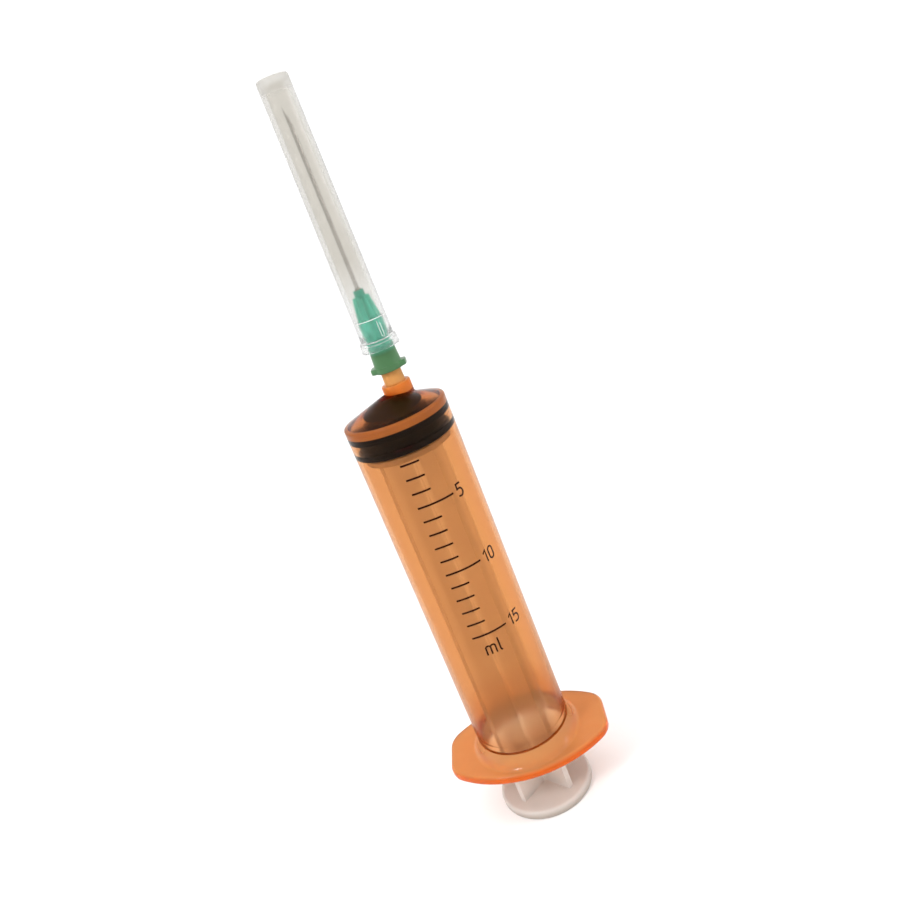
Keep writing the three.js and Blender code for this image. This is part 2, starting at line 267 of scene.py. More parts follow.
def make_mouth_wall(material):
    """A pale skin inside the flange's bore, for the light that its milky plastic gives back."""
    low, high = FLANGE_Z + 1.7, FLARE_Z - 0.04
    inner, outer = BORE_R - SEAM_LAP, BORE_R + 0.2
    rings = [ring(r, z) for r, z in ((inner, low), (outer, low), (outer, high), (inner, high))]
    return finish_mesh("barrel_mouth_wall", *loft(rings, loop=True), "barrel", "barrel_plastic", material)


def make_barrel(material):
    """The tube above the flange's flare, its front wall, the collar and the luer tip, all one moulding."""
    turns = angles()
    profile = [(BORE_R, FLARE_Z), (BARREL_R, FLARE_Z), (BARREL_R, FLARE_Z + 0.12), (BARREL_R, FLARE_Z + 1.0)]
    profile += [(BARREL_R, 22.0 + 7.0 * k) for k in range(12)]
    profile += curve(SHOULDER_R, SHOULDER_Z - SHOULDER_ROUND, BARREL_R - SHOULDER_R, SHOULDER_ROUND, 0, 90, 6)
    rings = [ring(r, z) for r, z in profile]
    # the front wall rises to the collar of the eccentric tip
    steps = 18
    wide = COLLAR_R + 0.28
    for k in range(1, steps + 1):
        t = k / steps
        t = 1 - (1 - t) ** 1.25
        level = []
        for a in turns:
            c, s = math.cos(a), math.sin(a)
            px = SHOULDER_R * c * (1 - t) + (TIP_X + wide * c) * t
            py = SHOULDER_R * s * (1 - t) + (TIP_Y + wide * s) * t
            level.append((px, py, cone_z(math.hypot(px, py))))
        rings.append(level)
    for r, rise in ((COLLAR_R + 0.1, 0.06), (COLLAR_R, 0.26)):
        foot = ring(r, 0, TIP_X, TIP_Y)
        rings.append([(x, y, cone_z(math.hypot(x, y)) + rise) for x, y, _ in foot])
    base_r = luer_r(COLLAR_TOP_Z)
    tip = [(COLLAR_R - 0.03, COLLAR_TOP_Z - 0.42)]
    tip += curve(COLLAR_R - 0.3, COLLAR_TOP_Z - 0.26, 0.27, 0.26, 10, 90, 5)
    tip += [(base_r + 0.3, COLLAR_TOP_Z), (base_r + 0.1, COLLAR_TOP_Z + 0.06), (base_r, COLLAR_TOP_Z + 0.3)]
    tip += [(luer_r(z), z) for z in (106.5, 108.5, 110.5, LUER_END_Z - 0.2)]
    tip += curve(LUER_END_R - 0.18, LUER_END_Z - 0.18, 0.18, 0.18, 15, 90, 4)
    tip += [(TIP_BORE_R + 0.1, LUER_END_Z), (TIP_BORE_R, LUER_END_Z - 0.12)]
    tip += [(TIP_BORE_R, z) for z in (110.0, 106.0, 103.0)]
    rings += [ring(r, z, TIP_X, TIP_Y) for r, z in tip]
    # inside of the front wall, from the tip's bore out to the bore of the tube
    inner = STOPPER_NOSE_R + 0.5
    for k in range(0, 9):
        t = k / 8
        level = []
        for a in turns:
            c, s = math.cos(a), math.sin(a)
            px = (TIP_X + TIP_BORE_R * c) * (1 - t) + inner * c * t
            py = (TIP_Y + TIP_BORE_R * s) * (1 - t) + inner * s * t
            level.append((px, py, cone_z(math.hypot(px, py)) - FRONT_WALL))
        rings.append(level)
    bore = [(BORE_R - 0.45, SHOULDER_Z - 1.3), (BORE_R - 0.13, SHOULDER_Z - 1.45), (BORE_R, SHOULDER_Z - 1.8)]
    bore += [(BORE_R, 92.0 - 7.0 * k) for k in range(11)]
    bore += [
        (BORE_R - (BORE_R - RETAINING_R) * (0.5 + 0.5 * math.cos(math.pi * u)), RETAINING_Z - RETAINING_HALF * u)
        for u in [-1 + k / 5 for k in range(11)]
    ]
    rings += [ring(r, z) for r, z in bore]
    piece = finish_mesh("barrel_moulding", *loft(rings, loop=True), "barrel", "barrel_plastic", material)
    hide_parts("barrel")
    return piece


def make_thick_corner(material):
    """The front corner of the barrel, where the thick plastic looks milky: a ring just under its skin."""
    low, skin = SHOULDER_Z - 1.65, BARREL_R - CORE_DEPTH
    top = SHOULDER_Z
    profile = [(BORE_R + 0.12, low), (skin, low), (skin, top - 0.5), (BARREL_R - 0.2, top - 0.2)]
    profile += [(SHOULDER_R - 0.1, top - 0.06), (SHOULDER_R - 0.5, top - 0.03), (BORE_R - 0.1, top - 0.9)]
    rings = [ring(r, z) for r, z in profile]
    return finish_mesh("barrel_thick_corner", *loft(rings, loop=True), "barrel", "barrel_plastic", material)


def make_thick_tip(material):
    """The collar and the luer tip, milky in the same way."""
    inner, low = TIP_BORE_R + 0.08, COLLAR_TOP_Z - 2.2
    step, end = COLLAR_TOP_Z + 0.4, LUER_END_Z - 0.2
    profile = [(inner, end), (inner, low), (COLLAR_R - 0.1, low), (COLLAR_R - CORE_DEPTH, COLLAR_TOP_Z - 0.45),
               (COLLAR_R - 0.3, COLLAR_TOP_Z - CORE_DEPTH), (luer_r(COLLAR_TOP_Z) + 0.05, COLLAR_TOP_Z - CORE_DEPTH),
               (luer_r(step) - CORE_DEPTH, step), (LUER_END_R - CORE_DEPTH, end)]
    rings = [ring(r, z, TIP_X, TIP_Y, THICK_AROUND) for r, z in profile]
    return finish_mesh("barrel_thick_tip", *loft(rings, loop=True), "barrel", "barrel_plastic", material)


# ---- Printed scale ----
MARK_0_Z, MARK_STEP = 97.87, 3.16
MARK_LEFT, MARK_SHORT, MARK_LONG = -1.31, 2.69, 6.68
MARK_WIDTH, LETTER_WIDTH = 0.41, 0.36
DIGIT_W, DIGIT_H = 1.26, 2.62
NUMERALS = {5: (("5", 7.72),), 10: (("1", 7.77), ("0", 9.29)), 15: (("1", 7.77), ("5", 9.32))}  # with left edges
UNIT_Z, UNIT_TOP_Z, UNIT_X, UNIT_GAP = 45.6, 47.68, 0.53, 1.03  # foot, top, left edge and space between strokes
ELL_X, ELL_TOP_Z = 3.6, 48.7
INK_DEPTH, INK_PROUD = 0.01, 0.025
END_ROUND, END_SHARE = 0.07, 0.28  # how far a rounded end stands out, and its half width as a share of the line's


def digit_strokes(text):
    """Centre lines of one digit in its cell, from the lower left corner, and whether each closes."""
    w, h = DIGIT_W, DIGIT_H
    if text == "0":
        r = w / 2
        line = curve(r, h - r, r, r, 0, 180, 10) + curve(r, r, r, r, 180, 360, 10)
        return [(line, True)]
    if text == "1":
        return [([(0.02, h - 0.62), (0.68, h - 0.02), (0.68, 0.0)], False)]
    line = [(w - 0.1, h), (0.06, h), (0.02, h / 2 + 0.2)]
    line += curve(w / 2 - 0.12, 0.74, w / 2 + 0.12, 0.86, 112, -78, 12)
    line += [(0.0, 0.0)]
    return [(line, False)]


def stroke(line, width, closes=False):
    """A ribbon of that width along a line: left and right points with mitred corners."""
    n = len(line)
    left, right = [], []
    for i, (x, z) in enumerate(line):
        before = line[i - 1] if i or closes else None
        after = line[(i + 1) % n] if i < n - 1 or closes else None
        ways = []
        for a, b in ((before, (x, z)), ((x, z), after)):
            if a is not None and b is not None:
                length = math.hypot(b[0] - a[0], b[1] - a[1]) or 1
                ways.append(((b[0] - a[0]) / length, (b[1] - a[1]) / length))
        wx, wz = sum(w[0] for w in ways), sum(w[1] for w in ways)
        size = math.hypot(wx, wz) or 1
        wx, wz = wx / size, wz / size
        spread = min(1 / max(wx * ways[0][0] + wz * ways[0][1], 0.3), 1.6) * width / 2
        left.append((x - wz * spread, z + wx * spread))
        right.append((x + wz * spread, z - wx * spread))
    return left, right


def ink_ribbon(verts, faces, line, width, closes=False):
    """Adds a closed thin solid that lies on the barrel along a line of (arc length from the front, height)."""
    if not closes:  # slightly rounded ends
        (x0, z0), (x1, z1) = line[0], line[1]
        size = math.hypot(x1 - x0, z1 - z0)
        first = (x0 - (x1 - x0) / size * END_ROUND, z0 - (z1 - z0) / size * END_ROUND)
        (x0, z0), (x1, z1) = line[-1], line[-2]
        size = math.hypot(x1 - x0, z1 - z0)
        last = (x0 - (x1 - x0) / size * END_ROUND, z0 - (z1 - z0) / size * END_ROUND)
    left, right = stroke(line, width, closes)
    if not closes:
        for end, own in ((first, 0), (last, -1)):
            (ax, az), (bx, bz) = left[own], right[own]
            cap_left = (end[0] + (ax - bx) * END_SHARE, end[1] + (az - bz) * END_SHARE)
            cap_right = (end[0] - (ax - bx) * END_SHARE, end[1] - (az - bz) * END_SHARE)
            if own == 0:
                left, right = [cap_left] + left, [cap_right] + right
            else:
                left, right = left + [cap_left], right + [cap_right]
    start = len(verts)
    for (ax, az), (bx, bz) in zip(left, right):
        for x, z, r in (
            (ax, az, BARREL_R - INK_DEPTH), (ax, az, BARREL_R + INK_PROUD),
            (bx, bz, BARREL_R + INK_PROUD), (bx, bz, BARREL_R - INK_DEPTH),
        ):
            a = x / BARREL_R
            verts.append((r * math.sin(a), -r * math.cos(a), z))
    n = len(left)
    for i in range(n if closes else n - 1):
        faces += band(start + 4 * i, start + 4 * ((i + 1) % n), 4)
    if not closes:
        faces.append((start, start + 1, start + 2, start + 3))
        end = start + 4 * (n - 1)
        faces.append((end + 3, end + 2, end + 1, end))


def make_scale(material):
    """Marks 1 to 15, the numerals at every fifth and the unit, as raised ink on the barrel's -Y side."""
    verts, faces = [], []
    for mark in range(1, 16):
        z = MARK_0_Z - MARK_STEP * mark
        right = MARK_LONG if mark % 5 == 0 else MARK_SHORT
        steps = int((right - MARK_LEFT) / 0.3)
        length = right - MARK_LEFT - 2 * END_ROUND
        line = [(MARK_LEFT + END_ROUND + length * i / steps, z) for i in range(steps + 1)]
        ink_ribbon(verts, faces, line, MARK_WIDTH)
    for mark, cells in NUMERALS.items():
        base = MARK_0_Z - MARK_STEP * mark - DIGIT_H / 2
        for text, left in cells:
            for line, closes in digit_strokes(text):
                ink_ribbon(verts, faces, [(left + x, base + z) for x, z in line], LETTER_WIDTH, closes)
    # the unit below the last mark: the m's first two legs, its last leg, and the l
    base, top, gap, left, bow = UNIT_Z, UNIT_TOP_Z, UNIT_GAP, UNIT_X, 0.42
    line = [(left, base), (left + 0.04, top - 0.3)]
    line += curve(left + 0.04 + gap / 2, top - bow, gap / 2, bow, 150, 0, 6)[1:]
    ink_ribbon(verts, faces, line + [(left + gap + 0.02, base)], LETTER_WIDTH)
    line = curve(left + 1.5 * gap + 0.08, top - bow, gap / 2, bow, 140, 0, 6)
    ink_ribbon(verts, faces, line + [(left + 2 * gap + 0.06, base)], LETTER_WIDTH)
    line = [(ELL_X + 0.01, ELL_TOP_Z), (ELL_X, base + 0.45)]
    line += curve(ELL_X + 0.38, base + bow, 0.38, bow, 190, 262, 3)[1:]
    ink_ribbon(verts, faces, line, LETTER_WIDTH)
    return finish_mesh("scale_print", verts, faces, "barrel", "scale_ink", material)


# ---- Stopper ----
def make_stopper(material):
    """Black rubber: the snap cavity, two sealing rings and a nose that follows the barrel's front wall."""

    def nose_z(r):
        return cone_z(r) - FRONT_WALL + NOSE_PRESS

    back, front, seal, groove = STOPPER_BACK_Z, STOPPER_FRONT_Z, STOPPER_SEAL_R, STOPPER_GROOVE_R
    nose = STOPPER_NOSE_R
    profile = SNAP_CAVITY + [(4.9, back + 0.15), (5.05, back)]
    profile += [(7.5, back), (groove - 0.1, back), (groove + 0.35, back + 0.02)]
    # the rear sealing ring, the groove and the front sealing ring
    profile += curve(seal - 0.25, back + 0.22, 0.25, 0.2, -70, 0, 4)
    profile += curve(seal - 0.25, back + 1.2, 0.25, 0.2, 0, 70, 4)
    profile += [(groove + 0.15, back + 1.5), (groove, back + 1.62), (groove, front - 1.78), (groove + 0.15, front - 1.66)]
    profile += curve(seal - 0.25, front - 1.4, 0.25, 0.2, -70, 0, 4)
    profile += curve(seal - 0.3, front - 0.22, 0.3, 0.2, 0, 80, 4)
    profile += [(9.2, front), (nose + 0.12, front), (nose, front + 0.1)]
    profile += [(nose, nose_z(nose) - 0.15), (nose - 0.12, nose_z(nose) - 0.03)]
    profile += [(r, nose_z(r)) for r in (5.6, 4.2, 2.8, 1.6, 0.9, 0.4, 0.02)]
    rings = [ring(r, z) for r, z in profile]
    piece = finish_mesh("stopper_rubber_body", *loft(rings), "stopper", "stopper_rubber", material)
    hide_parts("stopper")
    return piece


# ---- Plunger rod ----
def cross_radius(fin_r, half, fillet=0.45):
    """Outline of the cross-shaped rod as a radius for each angle from a fin's middle."""

    def radius(a):
        a = math.fmod(a - ROD_TURN + 8 * math.pi, math.pi / 2)
        a = min(a, math.pi / 2 - a)
        side = half / max(math.sin(a), 1e-6)
        tip = fin_r / math.cos(a)
        core = (half + fillet * 0.55) * math.sqrt(2)  # the filleted inside corner
        return max(min(side, tip), core * (0.86 + 0.14 * math.cos(4 * (math.pi / 4 - a))))

    return radius


def rod_turns():
    """Angles round the rod, with points on each side of every fin's edges."""
    half = ROD_FIN_T / 2
    corner = math.atan2(half, ROD_FIN_R)
    made = []
    for quarter in range(4):
        middle = ROD_TURN + quarter * math.pi / 2
        quarter_turns = [k * corner / 3 for k in range(-3, 4)] + [corner * 1.08, corner * 1.25, corner * 1.5]
        last, end = corner * 1.5, math.pi / 2 - corner * 1.5
        steps = 30
        quarter_turns += [last + (end - last) * k / steps for k in range(1, steps)]
        quarter_turns += [end, math.pi / 2 - corner * 1.25, math.pi / 2 - corner * 1.08]
        made += [middle + t for t in quarter_turns]
    return made


def make_rod(material, thick_shaded_material):
    """The rod as three pieces: a milky thumb rest with the fins' feet, a milky head disc, and the clearer rest."""
    turns = rod_turns()
    half = ROD_FIN_T / 2

    def circle(r, z):
        return shaped(lambda a: r, z, turns)

    cross = cross_radius(ROD_FIN_R, half)

    def spread(z, share, r):
        return shaped(lambda a: cross(a) + (r - cross(a)) * share, z, turns)

    rings = [circle(r, z) for r, z in ((4.0, 0.0), (8.0, 0.0), (THUMB_R - 0.75, 0.0))]
    rings += [circle(r, z) for r, z in curve(THUMB_R - 0.62, 0.62, 0.62, 0.62, -75, 0, 5)]
    rings += [circle(r, z) for r, z in curve(THUMB_R - 0.8, THUMB_T - 0.8, 0.8, 0.8, 0, 90, 6)]
    rings += [circle(9.4, THUMB_T), circle(8.75, THUMB_T)]
    rings += [spread(THUMB_T + 0.03, 0.12, 8.9), spread(THUMB_T + 0.16, 0.035, 8.9)]
    disc_top = STOPPER_BACK_Z - 0.35
    low = THUMB_T + 0.5
    high = disc_top - ROD_DISC_T - 0.5
    steps = 14
    rings += [spread(low, 0.0, 9.0), spread(ROD_SPLIT_Z - ROD_SPLIT_GAP, 0.0, 9.0)]
    finish_mesh("plunger_thumb_rest", *loft(rings), "plunger", "plunger_plastic", thick_shaded_material)
    rings = [spread(high - 0.02, 0.0, 9.0), spread(high, 0.0, 9.0)]
    rings += [spread(high + 0.34, 0.035, 8.9), spread(high + 0.47, 0.12, 8.9)]
    rings += [circle(8.8, high + 0.5), circle(ROD_DISC_R - 0.15, high + 0.5), circle(ROD_DISC_R, high + 0.65)]
    rings += [circle(ROD_DISC_R, disc_top - 0.15), circle(ROD_DISC_R - 0.15, disc_top)]
    rings += [circle(6.5, disc_top), circle(SNAP_NECK_R, disc_top)]
    finish_mesh("plunger_head_disc", *loft(rings), "plunger", "plunger_plastic", thick_shaded_material)
    rings = [spread(ROD_SPLIT_Z + (high - ROD_SPLIT_Z) * k / steps, 0.0, 9.0) for k in range(steps + 1)]
    rings += [circle(SNAP_NECK_R, high + 0.05), circle(SNAP_NECK_R, disc_top - 0.02), circle(4.5, disc_top + 0.2)]
    rings += [circle(r, z) for r, z in SNAP_HEAD]
    piece = finish_mesh("plunger_moulding", *loft(rings), "plunger", "plunger_plastic", material)
    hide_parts("plunger_rod")
    return piece


# ---- Needle hub ----
FIN_HALF = 0.3
FIN_TIP, FIN_SIDE, FIN_CORE = 4, 3, 13


def hub_outline(core, fin=None):
    """Radius and angle of the hub's outline, with four fins standing out of a round core."""
    made = []
    fin = fin or core
    for quarter in range(4):
        middle = quarter * math.pi / 2
        root = math.asin(min(FIN_HALF / core, 0.6))
        tip = min(math.atan2(FIN_HALF, fin), root)
        root_x = core * math.cos(root)
        for k in range(-FIN_TIP, FIN_TIP + 1):
            a = tip * k / FIN_TIP
            made.append((fin / math.cos(a) if fin > core else core, middle + a))
        for k in range(1, FIN_SIDE + 1):
            x = fin + (root_x - fin) * k / FIN_SIDE
            a = math.atan2(FIN_HALF, x)
            made.append((math.hypot(FIN_HALF, x) if fin > core else core, middle + a))
        for k in range(1, FIN_CORE + 1):
            a = root + (math.pi / 2 - 2 * root) * k / (FIN_CORE + 1)
            made.append((core, middle + a))
        for k in range(FIN_SIDE, 0, -1):
            x = fin + (root_x - fin) * k / FIN_SIDE
            a = math.pi / 2 - math.atan2(FIN_HALF, x)
            made.append((math.hypot(FIN_HALF, x) if fin > core else core, middle + a))
    return made


def make_hub(material):
    """The green hub: mouth with its lugs, skirt, finned nose, and the luer socket inside."""

    def level(z, core, fin=None):
        return [(TIP_X + r * math.cos(a), TIP_Y + r * math.sin(a), z) for r, a in hub_outline(core, fin)]

    def lug(z, core, grow=0.0):
        """The round core with the two lugs that reach out along X, as a rounded rectangle."""
        reach, half, corner = HUB_LUG_REACH + grow, 1.75 + grow, 0.8
        made = []
        for _, a in hub_outline(core):
            c, s = abs(math.cos(a)), abs(math.sin(a))
            r = core
            if half / max(s, 1e-6) > core:
                far = reach / c
                side = half / max(s, 1e-6)
                cx, cy = reach - corner, half - corner
                along = cx * c + cy * s
                room = corner * corner - cx * cx - cy * cy + along * along
                r_corner = along + math.sqrt(room) if room > 0 else far
                if far * s < cy:
                    r = far
                elif side * c < cx:
                    r = side
                else:
                    r = r_corner
            made.append((TIP_X + max(r, core) * math.cos(a), TIP_Y + max(r, core) * math.sin(a), z))
        return made

    z, shoulder, top = HUB_Z, HUB_SHOULDER_Z, HUB_TOP_Z
    rings = [level(z, HUB_MOUTH_R + 0.12), level(z, 2.6), level(z, 2.93), level(z + 0.12, 3.02)]
    rings += [lug(z + 0.15, 3.05, -0.12), lug(z + 0.26, 3.05), lug(z + 1.12, 3.05), lug(z + 1.25, 3.03, -0.12)]
    rings += [level(z + 1.28, 2.95), level(z + 1.42, 2.88)]
    rings += [level(h, 2.87 - (h - z - 1.42) * 0.062) for h in (110.2, 111.3, SHEATH_Z)]
    for h in (114.5, 116.6, shoulder - 0.12):
        rings.append(level(h, 2.66 + (2.52 - 2.66) * (h - SHEATH_Z) / (shoulder - SHEATH_Z)))
    rings += [level(shoulder, 2.44), level(shoulder + 0.02, 2.4, 2.405)]
    rings += [level(shoulder + 0.12, 1.9, 2.4), level(shoulder + 0.25, 1.7, 2.39)]
    for k in range(1, 6):
        t = k / 5
        h = shoulder + 0.25 + (top - 1.4 - shoulder - 0.25) * t
        rings.append(level(h, 1.7 + (1.12 - 1.7) * t, 2.39 + (1.7 - 2.39) * t))
    rings += [level(top - 1.28, 1.11, 1.13), level(top - 1.2, 1.1)]
    rings += [level(top - 0.12, 1.04), level(top, 0.96), level(top - 0.02, 0.8), level(top - 1.9, 0.78)]
    # the needle's channel and, below it, the luer socket
    needle_r, socket_end = NEEDLE_R + GLUE_GAP, z + HUB_SOCKET_DEPTH
    rings += [level(top - 2.0, needle_r), level(socket_end, needle_r)]
    rings += [level(socket_end, HUB_MOUTH_R - HUB_SOCKET_DEPTH * LUER_TAPER - 0.1)]
    rings += [level(socket_end - 0.15, HUB_MOUTH_R - 8.9 * LUER_TAPER)]
    rings += [level(z + 5, HUB_MOUTH_R - 5 * LUER_TAPER), level(z + 0.12, HUB_MOUTH_R)]
    piece = finish_mesh("hub_moulding", *loft(rings, loop=True), "needle", "hub_plastic", material)
    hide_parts("needle_hub")
    return piece


def make_needle(material):
    """Steel tube whose end is ground at a slant, its point on the -X side."""
    count = NEEDLE_AROUND

    def level(r, z, top=False):
        made = []
        for a in angles(count):
            x, y = r * math.cos(a), r * math.sin(a)
            h = z - (x + NEEDLE_R - 0.02) / math.tan(BEVEL) if top else z
            made.append((TIP_X + x, TIP_Y + y, min(h, NEEDLE_TIP_Z)))
        return made

    low = NEEDLE_START_Z
    rings = [level(NEEDLE_BORE_R, low), level(NEEDLE_R - 0.03, low), level(NEEDLE_R, low + 0.03)]
    rings += [level(NEEDLE_R, low + 4.0 * k) for k in range(1, 10)]
    rings += [level(NEEDLE_R, NEEDLE_TIP_Z, True), level(NEEDLE_BORE_R, NEEDLE_TIP_Z, True)]
    rings += [level(NEEDLE_BORE_R, low + 4.0 * k) for k in range(9, 0, -1)]
    piece = finish_mesh("needle_tube", *loft(rings, loop=True), "needle", "needle_steel", material, sharp=30)
    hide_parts("cannula")
    return piece


def make_adhesive(material):
    """The bead round the needle in the hub's nose, its top drawn up the steel in a fillet."""
    inner, low, top, high = NEEDLE_R + 0.01, bead_low.z, HUB_TOP_Z, bead_high.z
    profile = [(inner, low), (0.7, low), (0.76, low + 0.1), (0.77, top - 0.25), (0.72, top - 0.02)]
    profile += [(0.62, top + 0.12), (0.52, top + 0.22), (0.46, high - 0.08), (inner + 0.015, high), (inner, high - 0.02)]
    rings = [ring(r, z, TIP_X, TIP_Y, NEEDLE_AROUND) for r, z in profile]
    piece = finish_mesh("adhesive_fillet", *loft(rings, loop=True), "needle", "adhesive", material)
    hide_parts("adhesive_bead")
    return piece


# ---- Needle sheath ----
RIB_LOW, RIB_HIGH, RIB_HALF = 114.9, 118.7, 0.28  # ends and half width of the round-ended ribs
RIB_TURNS = [math.radians(t) for t in (-59, 121)]
RIDGE_RISE, RIDGE_WIDTH, RIDGE_ROOT = 0.04, 0.12, -0.02
RIDGE_RINGS = ((118.75, 0.16), (114.35, 0.13), (113.75, 0.1))  # height and width of each
# across a ridge, as (share of its width, rise over the sheath)
RIDGE_SECTION = ((0, RIDGE_ROOT), (0.25, RIDGE_RISE * 0.8), (0.5, RIDGE_RISE), (0.75, RIDGE_RISE * 0.8), (1, RIDGE_ROOT))


def sheath_r(z):
    """Outside of the sheath above its collar."""
    return SHEATH_LOW_R + (SHEATH_HIGH_R - SHEATH_LOW_R) * (z - SHEATH_Z) / (SHEATH_TOP_Z - SHEATH_Z)


def sheath_skin(outside, inside):
    """The outside closes in a fan at its last ring and the inside at its first, and they join at the mouth."""
    count = len(outside[0])
    verts = [p for level in outside + inside for p in level]
    faces = []
    for levels, base in ((outside, 0), (inside, len(outside) * count)):
        for k in range(len(levels) - 1):
            faces += band(base + k * count, base + (k + 1) * count, count)
    for start in ((len(outside) - 1) * count, len(outside) * count):
        faces += fan(verts, start, count)
    faces += band(0, (len(outside) + len(inside) - 1) * count, count)
    return verts, faces


def make_sheath(material):
    """The clear cap: its collar and tapering outside, and a stepped bore with two gripping rings in the socket."""
    low, top, shoulder = SHEATH_Z, SHEATH_TOP_Z, HUB_SHOULDER_Z
    collar_r, collar_top, socket_r = SHEATH_COLLAR_R, SHEATH_Z + SHEATH_COLLAR_H, SHEATH_SOCKET_R

    def bore_r(z):
        return SHEATH_BORE_LOW_R + (SHEATH_BORE_HIGH_R - SHEATH_BORE_LOW_R) * (z - shoulder) / (top - shoulder)

    def levels(profile):
        return [ring(r, z, TIP_X, TIP_Y, SHEATH_AROUND) for r, z in profile]

    outside = [(socket_r + 0.12, low), (collar_r - 0.18, low), (collar_r - 0.05, low + 0.05), (collar_r, low + 0.18)]
    outside += [(collar_r - 0.17, collar_top - 0.2), (collar_r - 0.22, collar_top - 0.06), (collar_r - 0.36, collar_top)]
    outside += [(sheath_r(collar_top) + 0.08, collar_top), (sheath_r(collar_top + 0.12), collar_top + 0.12)]
    outside += [(sheath_r(z), z) for z in [low + 4.0 + 5.0 * k for k in range(10)]]
    for a in (0, 25, 50, 75, 90):
        t = math.radians(a)
        outside.append((sheath_r(top) - 0.35 + 0.35 * math.cos(t), top - 0.35 + 0.35 * math.sin(t)))
    outside += [(2.0, top), (1.0, top), (0.05, top)]
    inside = [(0.05, top - 0.9), (1.2, top - 0.92), (bore_r(top) - 0.3, top - 1.0), (bore_r(top), top - 1.35)]
    inside += [(bore_r(z), z) for z in [top - 6.0 - 5.5 * k for k in range(8)] + [shoulder + 1.3]]
    inside += [(socket_r, shoulder + 0.05), (socket_r, 116.5)]
    for grip_top in (low + 2.2, low + 1.35):
        inside += [(socket_r, grip_top), (socket_r - 0.06, grip_top - 0.15)]
        inside += [(socket_r - 0.06, grip_top - 0.35), (socket_r, grip_top - 0.5)]
    inside += [(socket_r, low + 0.15)]
    verts, faces = sheath_skin(levels(outside), levels(inside))
    piece = finish_mesh("sheath_moulding", verts, faces, "sheath", "sheath_plastic", material)
    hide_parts("needle_sheath")
    return piece


def ridge(verts, faces, line, width):
    """Adds a low rounded ridge that stands out of the sheath along a line of (angle, height)."""
    left, right = stroke([(a * SHEATH_LOW_R, z) for a, z in line], width)
    start, across = len(verts), len(RIDGE_SECTION)
    for (ax, az), (bx, bz) in zip(left, right):
        for share, rise in RIDGE_SECTION:
            x, z = ax + (bx - ax) * share, az + (bz - az) * share
            a, r = x / SHEATH_LOW_R, sheath_r(z) + rise
            verts.append((TIP_X + r * math.cos(a), TIP_Y + r * math.sin(a), z))
    end = start + across * (len(left) - 1)
    for a in range(start, end, across):
        faces += band(a, a + across, across)
    faces += [tuple(range(start, start + across)), tuple(range(end + across - 1, end - 1, -1))]


def ridge_ring(verts, faces, height, width, steps=96):
    """Adds the same ridge as a closed ring round the sheath."""
    start, across = len(verts), len(RIDGE_SECTION)
    for i in range(steps):
        a = 2 * math.pi * i / steps
        for share, rise in RIDGE_SECTION:
            z = height + width * (share - 0.5)
            r = sheath_r(z) + rise
            verts.append((TIP_X + r * math.cos(a), TIP_Y + r * math.sin(a), z))
    for i in range(steps):
        faces += band(start + across * i, start + across * ((i + 1) % steps), across)


def make_ridges(material):
    """The fine raised lines round the sheath's grip: a ring at its top, two ribs and two rings by the collar, drawn in
    near-white as painted highlights.
    """
    verts, faces = [], []
    for z, width in RIDGE_RINGS:
        ridge_ring(verts, faces, z, width)
    half, bend = RIB_HALF / SHEATH_LOW_R, RIB_LOW + RIB_HALF
    for middle in RIB_TURNS:
        line = [(middle - half, RIB_HIGH - 0.5)]
        line += curve(middle, bend, half, RIB_HALF, 180, 360, 9)
        ridge(verts, faces, line + [(middle + half, RIB_HIGH - 1.0)], RIDGE_WIDTH)
    return finish_mesh("sheath_ridges", verts, faces, "sheath", "sheath_plastic", material)


# ---- Materials ----
GRAIN_SCALE = 2500.0


def noise(nodes, links, place, scale, detail):
    """The value of a noise texture that is fixed to the object."""
    texture = nodes.new("ShaderNodeTexNoise")
    texture.inputs["Scale"].default_value = scale
    texture.inputs["Detail"].default_value = detail
    links.new(place.outputs["Object"], texture.inputs["Vector"])
    return texture.outputs["Fac"]


def height_share(nodes, links, place, full_z, gone_z):
    """0 at one height and 1 at another, held level outside them. They may run downwards."""
    split = nodes.new("ShaderNodeSeparateXYZ")
    links.new(place.outputs["Object"], split.inputs["Vector"])
    share = nodes.new("ShaderNodeMapRange")
    share.inputs["From Min"].default_value, share.inputs["From Max"].default_value = full_z * MM, gone_z * MM
    links.new(split.outputs["Z"], share.inputs["Value"])
    return share.outputs["Result"]


